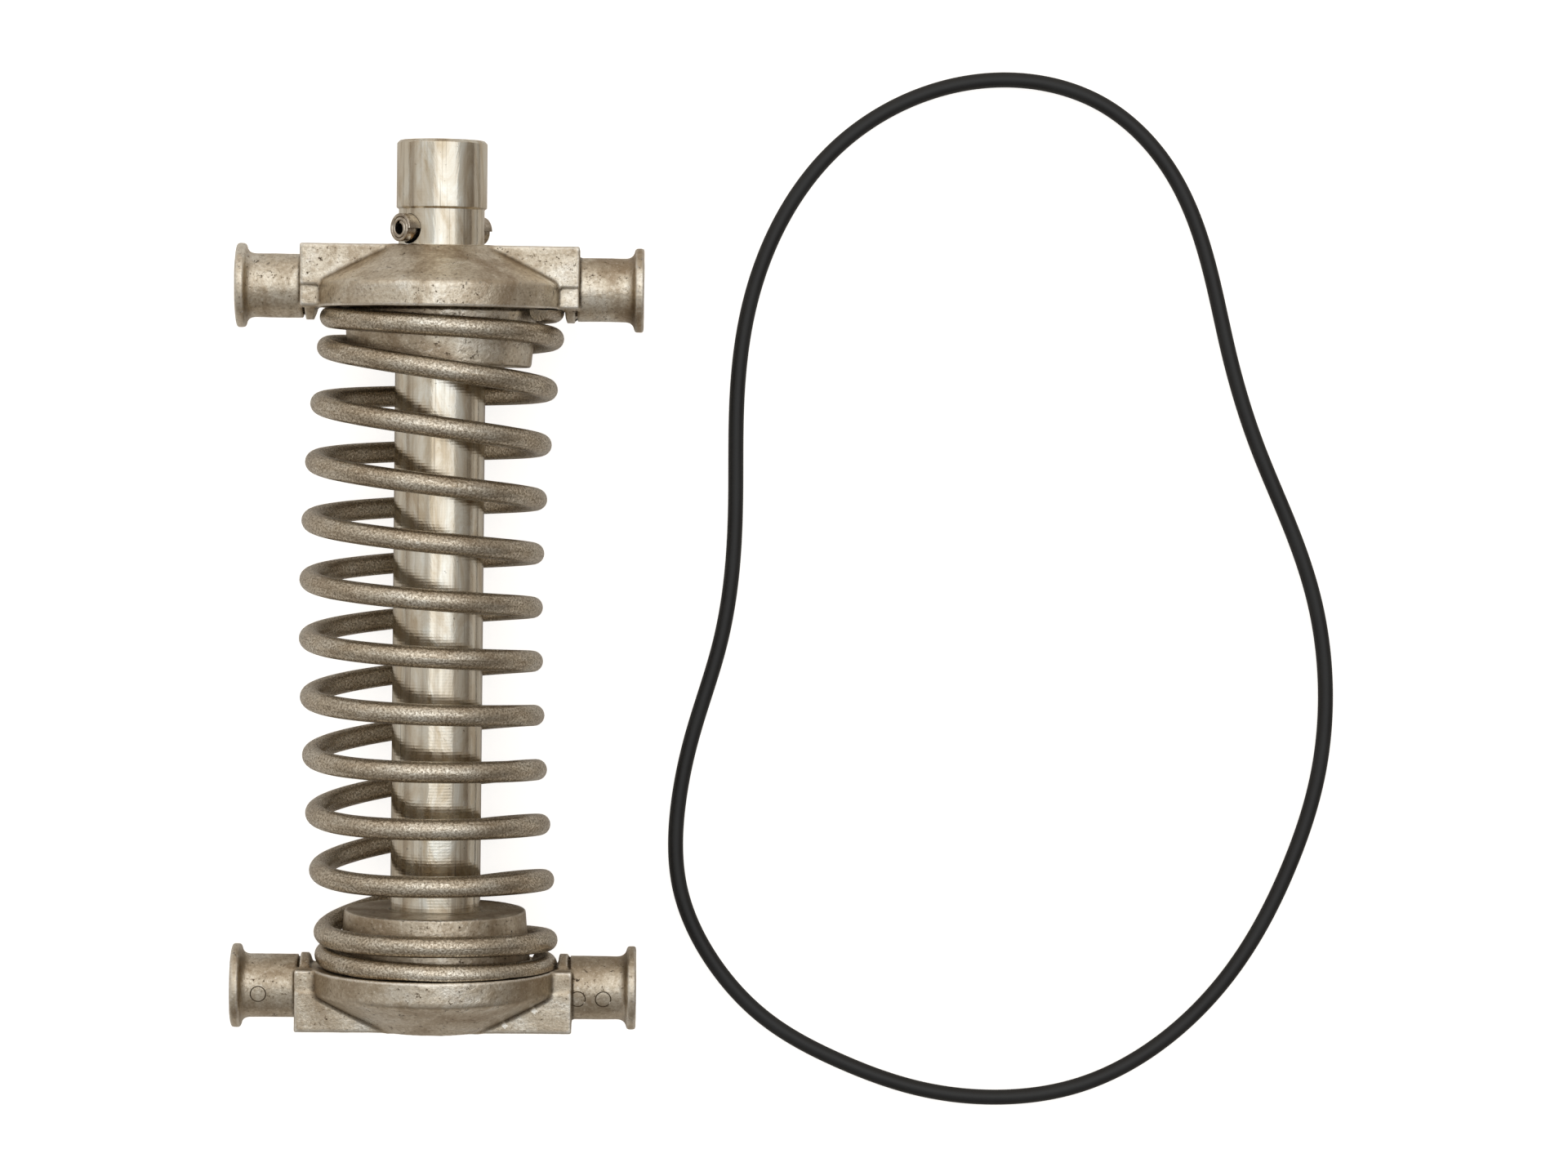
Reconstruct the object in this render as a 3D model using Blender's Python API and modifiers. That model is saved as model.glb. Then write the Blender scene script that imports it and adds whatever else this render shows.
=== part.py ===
"""Spring module of a check valve with its seal ring, laid out flat on a surface.

Two identical cast yokes face each other on a round guide rod with a compression spring
between them.  The rod is screwed into the fixed yoke.  The sliding yoke runs on two bushes,
and a coiled pin through the neck of the rod holds it against the spring.  A large rubber
ring lies beside the module.

Metres, +Z up.  The module's axis runs along +Y, from the fixed yoke to the pinned end, and
the yokes' arms run along X.  The origin is on the surface, under the middle of the layout.
"""
import math

import bmesh
import bpy
import numpy as np

MM = 0.001
GAP = 0.3 * MM              # clearance between neighbours that touch on the real object
MERGE = 0.00001

# ---- yokes: heights are measured from the flat outer face towards the spring
RIM_R = 41.5 * MM           # round rim that carries the spring
RIM_H = 8.6 * MM
SEAT = 20.9 * MM            # outer face to the plane the spring sits on
CONE_R = 19.8 * MM          # small end of the cone, at the outer face
SHOULDER = 2.2 * MM         # rounding between cone and rim
BOSS_R = 32.2 * MM          # tapered boss that centres the spring
BOSS_TIP_R = 30.3 * MM
BOSS_H = 19.4 * MM
BAR_HALF = 46.1 * MM        # half the length of the bar between the arms
BAR_WIDE = 27.0 * MM
BAR_TALL = 20.8 * MM
PANEL_STEP = 0.5 * MM       # shallow step along the bar's two long sides
PANEL_TALL = 7.0 * MM

# ---- arms: round trunnions with an end flange, lengths measured from the yoke's axis
ARM_HEIGHT = 14.0 * MM      # trunnion axis above the outer face
ARM_ROOT = 30.0 * MM
HUB_R = 11.3 * MM
HUB_END = 44.7 * MM
GROOVE_R = 9.6 * MM
GROOVE_END = 45.3 * MM
JOURNAL_R = 10.7 * MM
FLANGE_R = 14.1 * MM
FLANGE_IN = 64.2 * MM
ARM_END = 67.5 * MM
FLANGE_EDGE = 0.6 * MM
FLANGE_FILLET = 1.2 * MM

# ---- guide rod: heights are measured from the fixed yoke's outer face
ROD_R = 15.0 * MM
ROD_FOOT = 15.3 * MM
NECK_R = 14.2 * MM
NECK_H = 12.4 * MM
HEAD_H = 22.3 * MM
ROD_CHAMFER = 1.0 * MM
CENTRE_R = 3.4 * MM         # centre-drilled recess in the rod's free end
CENTRE_PILOT_R = 1.6 * MM
CENTRE_DEEP = 6.0 * MM

# ---- spring
WIRE_R = 3.55 * MM
COIL_R = 37.0 * MM          # axis to the middle of the wire
SPAN = 219.7 * MM           # seat to seat, as pinned
TURNS = 13.13
FIRST_TURN = -0.08          # the wire starts a little before the +X side
# turns from the wire's end, and how many wire diameters its centre has risen there: the
# last coil at each end is closed onto the seat and ground flat
END_TURNS = (0.0, 0.5, 1.0, 1.5, 2.0)
SLIDING_RISE = (0.0, 0.27, 1.08, 1.93, 3.17)
FIXED_RISE = (0.0, 0.45, 1.06, 1.85, 3.50)
SIDE_SHIFT = 0.5 * MM       # the whole spring sits a little off the boss's middle
BOW = 6.1 * MM              # the coils sag sideways half-way along
BOW_FROM = 10.0 * MM        # the bow starts this far from each seat
BOW_SKEW = 0.87
LEAN = 2.8 * MM             # how far the coils tip where the bow starts
LEAN_EVEN = -0.47 * MM
SETTLE_FROM = 7.0 * MM      # the coils start to tip this far from a seat
SETTLE_RUN = 8.0 * MM
WIRE_STEPS = 22             # points on the wire's centre line in each turn

# ---- pin, bushes and fastener
PIN_R = 4.9 * MM
PIN_HALF = 18.2 * MM
PIN_STRIP = 1.1 * MM        # thickness of the rolled strip
PIN_WRAP_GAP = 0.12 * MM
PIN_TURNS = 2.25
PIN_STEP_FROM = 0.55        # share of each turn that stays round before it steps inwards
PIN_ANGLE = 43.0            # degrees that the pin's -X end stands towards +Z
BUSH_R = 17.0 * MM
BUSH_BORE_R = 15.1 * MM
BUSH_H = 15.0 * MM
BUSH_INSET = 1.0 * MM
SCREW_R = 5.0 * MM
SCREW_HEAD_R = 8.0 * MM
SCREW_HEAD_H = 6.5 * MM
SCREW_END = 33.0 * MM
SCREW_KEY = 7.0 * MM        # across the flats of the hexagon socket
SCREW_KEY_DEEP = 3.6 * MM
WASHER_R = 9.0 * MM
WASHER_H = 2.2 * MM
WASHER_SLOT = 1.4 * MM
COUNTERBORE_R = 10.2 * MM
COUNTERBORE_DEEP = 9.5 * MM

# ---- seal ring, lying flat: half-millimetre points on its centre line
RING_WIRE_R = 2.665 * MM
RING_OUTLINE = (
    (0.5, 175.5), (31.5, 167.5), (55.5, 144.5), (69, 112.5), (76.5, 82.5), (87, 50.5),
    (98.5, 24), (107.5, -1.5), (112, -31), (110, -62.5), (100.5, -94.5), (82.5, -129),
    (53.5, -158.5), (29, -171), (0, -175.5), (-27.5, -172.5), (-55, -163), (-80, -149),
    (-98.5, -129.5), (-110.5, -103.5), (-111.5, -75.5), (-106.5, -49.5), (-98, -20), (-94, 5),
    (-93, 31.5), (-93, 64.5), (-90, 93), (-79.5, 124.5), (-60, 151.5), (-32, 169.5),
)
RING_POINTS = 96

# ---- layout
MODULE_TO_RING = 193.0 * MM  # module's axis to the middle of the ring
FIXED_FACE_Y = -146.8 * MM
ROUND = 48                   # facets round a turned piece
OVERCUT = 1.0 * MM           # how far a cutter reaches past the face it opens
CURVE_STEPS = 24             # points between two neighbours of the ring's outline

TOP_FACE = 2 * SEAT + SPAN   # sliding yoke's outer face
NECK_TOP = TOP_FACE + NECK_H
ROD_TOP = NECK_TOP + HEAD_H
PIN_HEIGHT = TOP_FACE + GAP + PIN_R


def clear_scene():
    for obj in list(bpy.data.objects):
        bpy.data.objects.remove(obj, do_unlink=True)


def new_collection(name):
    group = bpy.data.collections.new(name)
    bpy.context.scene.collection.children.link(group)
    return group


def material(name, colour, roughness, metallic):
    mat = bpy.data.materials.new(name)
    mat.use_nodes = True
    shader = mat.node_tree.nodes["Principled BSDF"]
    shader.inputs["Base Color"].default_value = (*colour, 1.0)
    shader.inputs["Roughness"].default_value = roughness
    shader.inputs["Metallic"].default_value = metallic
    return mat


def add_object(name, data, group, parent, mat=None):
    obj = bpy.data.objects.new(name, data)
    group.objects.link(obj)
    obj.parent = parent
    if mat is not None:
        data.materials.append(mat)
    return obj


def as_cutter(obj):
    obj.hide_render = True
    obj.display_type = "WIRE"
    return obj


def turned(name, profile, group, parent, mat=None, facets=ROUND):
    """Solid of revolution about Z; the profile runs down the outer side, as (radius, height)."""
    count = len(profile)
    edges = [(i, i + 1) for i in range(count - 1)]
    if min(radius for radius, _ in profile) > 0:
        edges.append((count - 1, 0))
    mesh = bpy.data.meshes.new(name)
    mesh.from_pydata([(radius, 0.0, height) for radius, height in profile], edges, [])
    obj = add_object(name, mesh, group, parent, mat)
    screw = obj.modifiers.new("turn", "SCREW")
    screw.steps = facets
    screw.render_steps = facets
    screw.use_merge_vertices = True
    screw.merge_threshold = MERGE
    return obj


def box(name, size, centre, group, parent):
    bpy.ops.mesh.primitive_cube_add(size=1.0)
    obj = bpy.context.object
    obj.name = name
    for vertex in obj.data.vertices:
        vertex.co = [vertex.co[i] * size[i] + centre[i] for i in range(3)]
    for other in list(obj.users_collection):
        other.objects.unlink(obj)
    group.objects.link(obj)
    obj.parent = parent
    return obj


def combine(obj, other, operation):
    boolean = obj.modifiers.new(other.name, "BOOLEAN")
    boolean.operation = operation
    boolean.solver = "EXACT"
    boolean.object = other


def arc(centre, radius, start, end, steps):
    """Points (x, y) on an arc; angles in degrees."""
    angles = np.radians(np.linspace(start, end, steps + 1))
    return [(centre[0] + radius * math.cos(a), centre[1] + radius * math.sin(a)) for a in angles]


def yoke_profile():
    """Boss, seat, rim and cone, from the boss's tip down to the outer face."""
    tip = SEAT + BOSS_H
    edge = 0.8 * MM
    rim_low = SEAT - RIM_H
    cone_out = RIM_R - SHOULDER * 0.7
    return [
        (0.0, tip),
        (BOSS_TIP_R - edge, tip),
        (BOSS_TIP_R, tip - edge),
        (BOSS_R, SEAT),
        (RIM_R - edge, SEAT),
        (RIM_R, SEAT - edge),
        (RIM_R, rim_low + SHOULDER * 0.5),
        (RIM_R - SHOULDER * 0.2, rim_low),
        (cone_out - SHOULDER * 0.2, rim_low - SHOULDER * 0.45),
        (CONE_R, 0.2 * MM),
        (0.0, 0.2 * MM),
    ]


def arm_profile():
    """Flange, journal, groove and hub, from the flange's face down to the root."""
    fillet = arc((JOURNAL_R + FLANGE_FILLET, FLANGE_IN - FLANGE_FILLET), FLANGE_FILLET, 90, 180, 3)
    return [
        (0.0, ARM_END),
        (FLANGE_R - FLANGE_EDGE, ARM_END),
        (FLANGE_R, ARM_END - FLANGE_EDGE),
        (FLANGE_R, FLANGE_IN + FLANGE_EDGE),
        (FLANGE_R - FLANGE_EDGE, FLANGE_IN),
        *fillet,
        (JOURNAL_R, GROOVE_END),
        (GROOVE_R, GROOVE_END),
        (GROOVE_R, HUB_END),
        (HUB_R, HUB_END),
        (HUB_R, ARM_ROOT),
        (0.0, ARM_ROOT),
    ]


def make_yoke(name, group, cutters, frame, mat):
    """One casting: turned body, bar and two trunnions; its bore is cut by the caller."""
    yoke = turned(name, yoke_profile(), group, frame, mat)

    bar_size = (2 * BAR_HALF, BAR_WIDE, BAR_TALL)
    bar = as_cutter(box(name + "_bar", bar_size, (0, 0, BAR_TALL / 2), cutters, yoke))
    for side in (-1, 1):
        step_size = (3 * BAR_HALF, 2 * PANEL_STEP, 2 * PANEL_TALL)
        step_place = (0, side * BAR_WIDE / 2, BAR_TALL)
        step = as_cutter(box(f"{name}_step_{side}", step_size, step_place, cutters, yoke))
        combine(bar, step, "DIFFERENCE")
    combine(yoke, bar, "UNION")

    pocket_top = SEAT + BOSS_H
    pocket_floor = SEAT - 2 * GAP
    pocket_profile = [(0.0, pocket_top), (RIM_R + GAP, pocket_top),
                      (RIM_R + GAP, pocket_floor), (0.0, pocket_floor)]
    pocket = as_cutter(turned(name + "_pocket", pocket_profile, cutters, yoke))
    for side in (-1, 1):
        arm = as_cutter(turned(f"{name}_arm_{side}", arm_profile(), cutters, yoke, facets=32))
        arm.location = (0, 0, ARM_HEIGHT)
        arm.rotation_euler = (0, side * math.pi / 2, 0)
        combine(arm, pocket, "DIFFERENCE")
        combine(yoke, arm, "UNION")
    return yoke


def cut_turned(obj, name, profile, cutters):
    cutter = as_cutter(turned(name, profile, cutters, obj))
    combine(obj, cutter, "DIFFERENCE")
    return cutter


def make_fixed_yoke(group, cutters, frame, mat):
    yoke = make_yoke("fixed_yoke", group, cutters, frame, mat)
    socket_r = ROD_R + GAP
    socket_floor = ROD_FOOT - GAP
    tip = SEAT + BOSS_H + OVERCUT
    hole_r = SCREW_R + 2 * GAP
    bore = [
        (0.0, tip),
        (socket_r, tip),
        (socket_r, socket_floor),
        (hole_r, socket_floor),
        (hole_r, COUNTERBORE_DEEP),
        (COUNTERBORE_R, COUNTERBORE_DEEP),
        (COUNTERBORE_R, -OVERCUT),
        (0.0, -OVERCUT),
    ]
    cut_turned(yoke, "fixed_yoke_bore", bore, cutters)
    return yoke


def make_sliding_yoke(group, cutters, frame, mat):
    """The same casting turned over, with a through bore for the two bushes."""
    yoke = make_yoke("sliding_yoke", group, cutters, frame, mat)
    yoke.location = (0, 0, TOP_FACE)
    yoke.rotation_euler = (math.pi, 0, 0)
    bore_r = BUSH_R + GAP
    tip = SEAT + BOSS_H + OVERCUT
    bore = [(0.0, tip), (bore_r, tip), (bore_r, -OVERCUT), (0.0, -OVERCUT)]
    cut_turned(yoke, "sliding_yoke_bore", bore, cutters)
    return yoke


def make_bush(name, height, group, frame, mat):
    """Thin sleeve pressed into the sliding yoke; height is its lower end on the rod."""
    low, high = height, height + BUSH_H
    edge = 0.4 * MM
    profile = [
        (BUSH_BORE_R, high),
        (BUSH_R - edge, high),
        (BUSH_R, high - edge),
        (BUSH_R, low + edge),
        (BUSH_R - edge, low),
        (BUSH_BORE_R, low),
    ]
    return turned(name, profile, group, frame, mat)


def make_rod(group, cutters, frame, mat):
    profile = [
        (0.0, ROD_TOP - CENTRE_DEEP),
        (CENTRE_PILOT_R, ROD_TOP - CENTRE_DEEP),
        (CENTRE_PILOT_R, ROD_TOP - CENTRE_R + CENTRE_PILOT_R),
        (CENTRE_R, ROD_TOP),
        (ROD_R - ROD_CHAMFER, ROD_TOP),
        (ROD_R, ROD_TOP - ROD_CHAMFER),
        (ROD_R, NECK_TOP),
        (NECK_R, NECK_TOP - 0.5 * MM),
        (NECK_R, TOP_FACE),
        (ROD_R, TOP_FACE - (ROD_R - NECK_R)),
        (ROD_R, ROD_FOOT + ROD_CHAMFER),
        (ROD_R - ROD_CHAMFER, ROD_FOOT),
        (0.0, ROD_FOOT),
    ]
    rod = turned("guide_rod", profile, group, frame, mat)
    reach = 2 * ROD_R
    cross = [(0.0, reach), (PIN_R + GAP, reach), (PIN_R + GAP, -reach), (0.0, -reach)]
    hole = cut_turned(rod, "pin_hole", cross, cutters)
    hole.location = (0, 0, PIN_HEIGHT)
    hole.rotation_euler = pin_rotation()
    tapped_r = SCREW_R + GAP
    tapped = [(0.0, SCREW_END + 2 * MM + tapped_r), (tapped_r, SCREW_END + 2 * MM),
              (tapped_r, 0.0), (0.0, 0.0)]
    cut_turned(rod, "screw_hole", tapped, cutters)
    return rod


def pin_rotation():
    """Lays Z along the pin's axis, square to the rod, in the module's frame."""
    return (math.pi / 2, 0.0, math.radians(PIN_ANGLE - 90.0))


def make_pin(group, frame, mat):
    """Strip rolled into a spiral of more than two turns: an outline of its section, extruded."""
    steps = 54
    turn = np.linspace(0.0, PIN_TURNS, steps + 1)
    step_in = np.clip((turn % 1.0 - PIN_STEP_FROM) / (1.0 - PIN_STEP_FROM), 0.0, 1.0)
    outer_r = PIN_R - (PIN_STRIP + PIN_WRAP_GAP) * (np.floor(turn) + step_in)
    angle = 2 * math.pi * turn
    outer = [(r * math.cos(a), r * math.sin(a)) for r, a in zip(outer_r, angle)]
    inner = [((r - PIN_STRIP) * math.cos(a), (r - PIN_STRIP) * math.sin(a))
             for r, a in zip(outer_r, angle)]
    points = outer + inner[::-1]
    curve = bpy.data.curves.new("retaining_pin", "CURVE")
    curve.dimensions = "2D"
    curve.fill_mode = "BOTH"
    curve.extrude = PIN_HALF
    spline = curve.splines.new("POLY")
    spline.points.add(len(points) - 1)
    for point, (x, y) in zip(spline.points, points):
        point.co = (x, y, 0.0, 1.0)
    spline.use_cyclic_u = True
    pin = add_object("retaining_pin", curve, group, frame, mat)
    pin.location = (0, 0, PIN_HEIGHT)
    pin.rotation_euler = pin_rotation()
    return pin


def wire_rise(turns):
    """Rise of the wire's centre above its own end, smoothed over a quarter turn."""
    first = 2 * WIRE_R * np.array(SLIDING_RISE)
    last = 2 * WIRE_R * np.flip(FIXED_RISE)
    knots = np.concatenate([END_TURNS, TURNS - np.flip(END_TURNS)])
    heights = np.concatenate([first, SPAN - 2 * GAP - last])
    spread = np.linspace(-0.125, 0.125, 9)
    return sum(np.interp(turns + s, knots, heights) for s in spread) / len(spread)


def coil_points(per_turn):
    """Centre line of the wire in the module's frame, from the sliding yoke to the fixed one."""
    turn = np.linspace(0.0, TURNS, round(TURNS * per_turn) + 1)
    along = GAP + wire_rise(turn)
    share = np.clip((along - BOW_FROM) / (SPAN - 2 * BOW_FROM), 0.0, 1.0) ** BOW_SKEW
    from_seat = np.minimum(along, SPAN - along)
    settle = np.clip((from_seat - SETTLE_FROM) / SETTLE_RUN, 0.0, 1.0)
    tip = (LEAN * np.cos(math.pi * share) + LEAN_EVEN) * settle
    angle = -2 * math.pi * (turn + FIRST_TURN)
    x = SIDE_SHIFT - BOW * np.sin(math.pi * share) + COIL_R * np.cos(angle)
    y = -COIL_R * np.sin(angle)
    z = SEAT + SPAN - along - tip * np.cos(angle)
    return np.stack([x, y, z], axis=1)


def wire_object(name, points, radius, cyclic, group, frame, mat, bevel_steps):
    """Round wire along the points; its two ends are capped unless it is closed."""
    curve = bpy.data.curves.new(name, "CURVE")
    curve.dimensions = "3D"
    curve.bevel_depth = radius
    curve.bevel_resolution = bevel_steps
    curve.use_fill_caps = not cyclic
    spline = curve.splines.new("POLY")
    spline.points.add(len(points) - 1)
    for point, place in zip(spline.points, points):
        point.co = (*place, 1.0)
    spline.use_cyclic_u = cyclic
    return add_object(name, curve, group, frame, mat)


def as_mesh(obj, group, frame, mat):
    """The curve object as a mesh with welded caps, so that it can be cut."""
    name = obj.name
    graph = bpy.context.evaluated_depsgraph_get()
    mesh = bpy.data.meshes.new_from_object(obj.evaluated_get(graph))
    bpy.data.objects.remove(obj, do_unlink=True)
    welded = bmesh.new()
    welded.from_mesh(mesh)
    bmesh.ops.remove_doubles(welded, verts=welded.verts, dist=MERGE)
    welded.to_mesh(mesh)
    welded.free()
    mesh.materials.clear()
    return add_object(name, mesh, group, frame, mat)


def make_spring(group, cutters, frame, mat):
    """Round wire along the coils, with both ends ground flat where they meet the seats."""
    wire = wire_object("compression_spring", coil_points(WIRE_STEPS), WIRE_R, False,
                       group, frame, mat, bevel_steps=2)
    spring = as_mesh(wire, group, frame, mat)
    across = 3 * COIL_R
    for end, plane in ((-1, SEAT + GAP), (1, SEAT + SPAN - GAP)):
        size = (across, across, SEAT)
        middle = (0, 0, plane + end * SEAT / 2)
        combine(spring, as_cutter(box(f"grinding_{end}", size, middle, cutters, frame)), "DIFFERENCE")
    return spring


def make_screw(group, cutters, frame, mat):
    """Low-head cap screw from the fixed yoke's outer face into the rod's foot."""
    head_top = COUNTERBORE_DEEP - 2 * GAP - WASHER_H
    head_low = head_top - SCREW_HEAD_H
    edge = 0.6 * MM
    profile = [
        (0.0, SCREW_END),
        (SCREW_R - edge, SCREW_END),
        (SCREW_R, SCREW_END - edge),
        (SCREW_R, head_top),
        (SCREW_HEAD_R, head_top),
        (SCREW_HEAD_R, head_low + edge),
        (SCREW_HEAD_R - edge, head_low),
        (0.0, head_low),
    ]
    screw = turned("rod_anchor_screw", profile, group, frame, mat)
    key_r = SCREW_KEY / math.sqrt(3)
    key = [(0.0, head_low + SCREW_KEY_DEEP), (key_r, head_low + SCREW_KEY_DEEP),
           (key_r, head_low - OVERCUT), (0.0, head_low - OVERCUT)]
    socket = as_cutter(turned("screw_socket", key, cutters, screw, facets=6))
    combine(screw, socket, "DIFFERENCE")
    return screw


def make_washer(group, cutters, frame, mat):
    low = COUNTERBORE_DEEP - GAP - WASHER_H
    high = low + WASHER_H
    bore_r = SCREW_R + GAP
    profile = [(bore_r, high), (WASHER_R, high), (WASHER_R, low), (bore_r, low)]
    washer = turned("anchor_lock_washer", profile, group, frame, mat)
    slot_size = (2 * WASHER_R, WASHER_SLOT, 4 * WASHER_H)
    slot = box("washer_slot", slot_size, (WASHER_R, 0, (low + high) / 2), cutters, washer)
    combine(washer, as_cutter(slot), "DIFFERENCE")
    return washer


def closed_curve(points, count):
    """Evenly spaced points on the smooth periodic cubic through the given points."""
    knots = np.array(points, dtype=float)
    n = len(knots)
    chord = np.linalg.norm(np.roll(knots, -1, axis=0) - knots, axis=1)
    system = np.zeros((n, n))
    right = np.zeros((n, 2))
    for i in range(n):
        before, after = chord[i - 1], chord[i]
        nxt = (i + 1) % n
        system[i, i - 1] += before
        system[i, i] += 2 * (before + after)
        system[i, nxt] += after
        right[i] = 6 * ((knots[nxt] - knots[i]) / after - (knots[i] - knots[i - 1]) / before)
    bend = np.linalg.solve(system, right)
    fine = []
    for i in range(n):
        nxt = (i + 1) % n
        length = chord[i]
        for t in np.linspace(0.0, length, CURVE_STEPS, endpoint=False):
            back = length - t
            fine.append(
                (bend[i] * back ** 3 + bend[nxt] * t ** 3) / (6 * length)
                + (knots[i] / length - bend[i] * length / 6) * back
                + (knots[nxt] / length - bend[nxt] * length / 6) * t)
    fine = np.array(fine + [fine[0]])
    run = np.concatenate([[0.0], np.cumsum(np.linalg.norm(np.diff(fine, axis=0), axis=1))])
    even = np.linspace(0.0, run[-1], count, endpoint=False)
    return np.stack([np.interp(even, run, fine[:, axis]) for axis in (0, 1)], axis=1)


def ring_points(count):
    """Ring centre line about the middle of its own box, in metres."""
    path = closed_curve(RING_OUTLINE, count) * MM
    return path - (path.max(axis=0) + path.min(axis=0)) / 2


def add_frame(name, group, place, rotation=(0.0, 0.0, 0.0)):
    empty = bpy.data.objects.new(name, None)
    group.objects.link(empty)
    empty.location = place
    empty.rotation_euler = rotation
    return empty


def shade(group):
    for obj in group.objects:
        if obj.type == "MESH":
            obj.data.shade_smooth()
            obj.data.set_sharp_from_angle(angle=math.radians(35))


def main():
    clear_scene()
    parts = new_collection("check_valve_spring_module")
    cutters = new_collection("cutters")
    casting = material("cast_steel", (0.50, 0.44, 0.35), 0.42, 1.0)
    polished = material("ground_steel", (0.68, 0.64, 0.57), 0.25, 1.0)
    wire = material("peened_steel", (0.42, 0.36, 0.28), 0.48, 1.0)
    dark = material("pin_steel", (0.30, 0.27, 0.23), 0.38, 1.0)
    bronze = material("bush_bronze", (0.55, 0.36, 0.18), 0.40, 1.0)
    zinc = material("fastener_steel", (0.55, 0.55, 0.54), 0.35, 1.0)
    rubber = material("black_rubber", (0.012, 0.012, 0.013), 0.45, 0.0)

    path = ring_points(RING_POINTS)
    ring_half = path.max(axis=0) + RING_WIRE_R
    module_x = (ARM_END - MODULE_TO_RING - ring_half[0]) / 2
    module = add_frame("module_axis", parts, (module_x, FIXED_FACE_Y, RIM_R), (-math.pi / 2, 0, 0))
    ring = add_frame("ring_centre", parts, (module_x + MODULE_TO_RING, 0, RING_WIRE_R))

    make_fixed_yoke(parts, cutters, module, casting)
    make_sliding_yoke(parts, cutters, module, casting)
    make_bush("outer_guide_bush", TOP_FACE - BUSH_INSET - BUSH_H, parts, module, bronze)
    make_bush("inner_guide_bush", SEAT + SPAN - BOSS_H + BUSH_INSET, parts, module, bronze)
    make_rod(parts, cutters, module, polished)
    make_pin(parts, module, dark)
    make_screw(parts, cutters, module, zinc)
    make_washer(parts, cutters, module, zinc)
    make_spring(parts, cutters, module, wire)
    flat = np.column_stack([path, np.zeros(len(path))])
    wire_object("seal_ring", flat, RING_WIRE_R, True, parts, ring, rubber, bevel_steps=3)
    shade(parts)


main()
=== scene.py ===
"""Looks of a check valve's spring module and its seal ring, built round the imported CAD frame.

Every CAD node is replaced by a finer piece with a procedural material.  The two castings are
distance fields turned into quads, the turned parts are solids of revolution, and the spring and
the seal ring are swept along the same centre lines as in the CAD.

A piece is drawn in its own frame: Z along its axis, metres.  The module's frame has its origin
in the middle of the fixed yoke's outer face, and its Z runs along the rod.
"""
import math

import bpy
import numpy as np
from mathutils import Euler, Matrix, Vector, noise


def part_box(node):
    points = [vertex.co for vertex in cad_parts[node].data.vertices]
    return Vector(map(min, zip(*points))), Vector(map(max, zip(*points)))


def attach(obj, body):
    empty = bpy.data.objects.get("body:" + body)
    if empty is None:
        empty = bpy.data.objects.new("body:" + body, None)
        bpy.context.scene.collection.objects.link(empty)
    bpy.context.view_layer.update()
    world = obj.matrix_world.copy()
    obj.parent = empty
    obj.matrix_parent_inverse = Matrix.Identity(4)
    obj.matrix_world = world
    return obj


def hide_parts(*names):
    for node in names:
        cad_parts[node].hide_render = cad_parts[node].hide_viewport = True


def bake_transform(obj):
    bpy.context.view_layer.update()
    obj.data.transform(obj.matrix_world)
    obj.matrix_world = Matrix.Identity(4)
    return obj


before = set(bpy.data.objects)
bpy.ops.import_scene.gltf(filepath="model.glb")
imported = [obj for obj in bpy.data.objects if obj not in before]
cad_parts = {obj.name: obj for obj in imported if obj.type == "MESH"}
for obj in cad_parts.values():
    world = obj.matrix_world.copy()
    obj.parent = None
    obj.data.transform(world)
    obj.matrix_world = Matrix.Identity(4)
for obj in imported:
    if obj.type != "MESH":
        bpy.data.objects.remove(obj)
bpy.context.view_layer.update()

MM = 0.001
GAP = 0.3 * MM                # clearance that the CAD leaves between touching parts

# ---- yokes: heights are measured from the flat outer face towards the spring
RIM_R = 41.5 * MM
SEAT = 20.9 * MM
CONE_R = 19.8 * MM            # cone at the outer face
CONE_FACE = 0.2 * MM
CONE_TOP = 12.4 * MM          # height where the cone would reach the rim's radius
BOSS_R = 32.2 * MM
BOSS_TIP_R = 30.3 * MM
BOSS_H = 19.4 * MM
BAR_HALF = 46.1 * MM
BAR_WIDE = 27.0 * MM
BAR_TALL = 20.8 * MM
PANEL_STEP = 0.5 * MM
PANEL_TALL = 7.0 * MM
ARM_HEIGHT = 14.0 * MM
ARM_ROOT = 30.0 * MM
HUB_R = 11.3 * MM
HUB_END = 44.7 * MM
GROOVE_R = 9.6 * MM
GROOVE_END = 45.3 * MM
JOURNAL_R = 10.7 * MM
FLANGE_R = 14.1 * MM
FLANGE_IN = 64.2 * MM
ARM_END = 67.5 * MM
POCKET_R = RIM_R + GAP        # room for the spring beside the arms
POCKET_FLOOR = SEAT - 0.6 * MM
CELL = 0.7 * MM               # size of the casting's quads
BURIED = 1.0 * MM             # how far a shape runs on inside its neighbour
BOSS_BURIED = 4.0 * MM
MARK_R = 2.55 * MM            # ejector marks on the journals
MARK_BEAD = 0.2 * MM
MARK_SUNK = 0.16 * MM
MARK_STEPS = 40
MARK_SIDES = 6

# ---- yokes: reach of each rounded edge or inner corner
EDGE = 0.8 * MM
RIM_EDGE = 1.5 * MM
SEAT_EDGE = 0.7 * MM
BOSS_EDGE = 1.1 * MM
BAR_EDGE = 0.5 * MM
BAR_CORNER = 1.0 * MM
PANEL_EDGE = 0.9 * MM
PANEL_CORNER = 0.2 * MM
HUB_EDGE = 0.5 * MM
HUB_CORNER = 0.3 * MM
FLANGE_EDGE = 1.0 * MM
FLANGE_LIP = 1.2 * MM
FLANGE_CORNER = 3.2 * MM
POCKET_EDGE = 0.4 * MM
BORE_EDGE = 0.4 * MM

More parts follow.
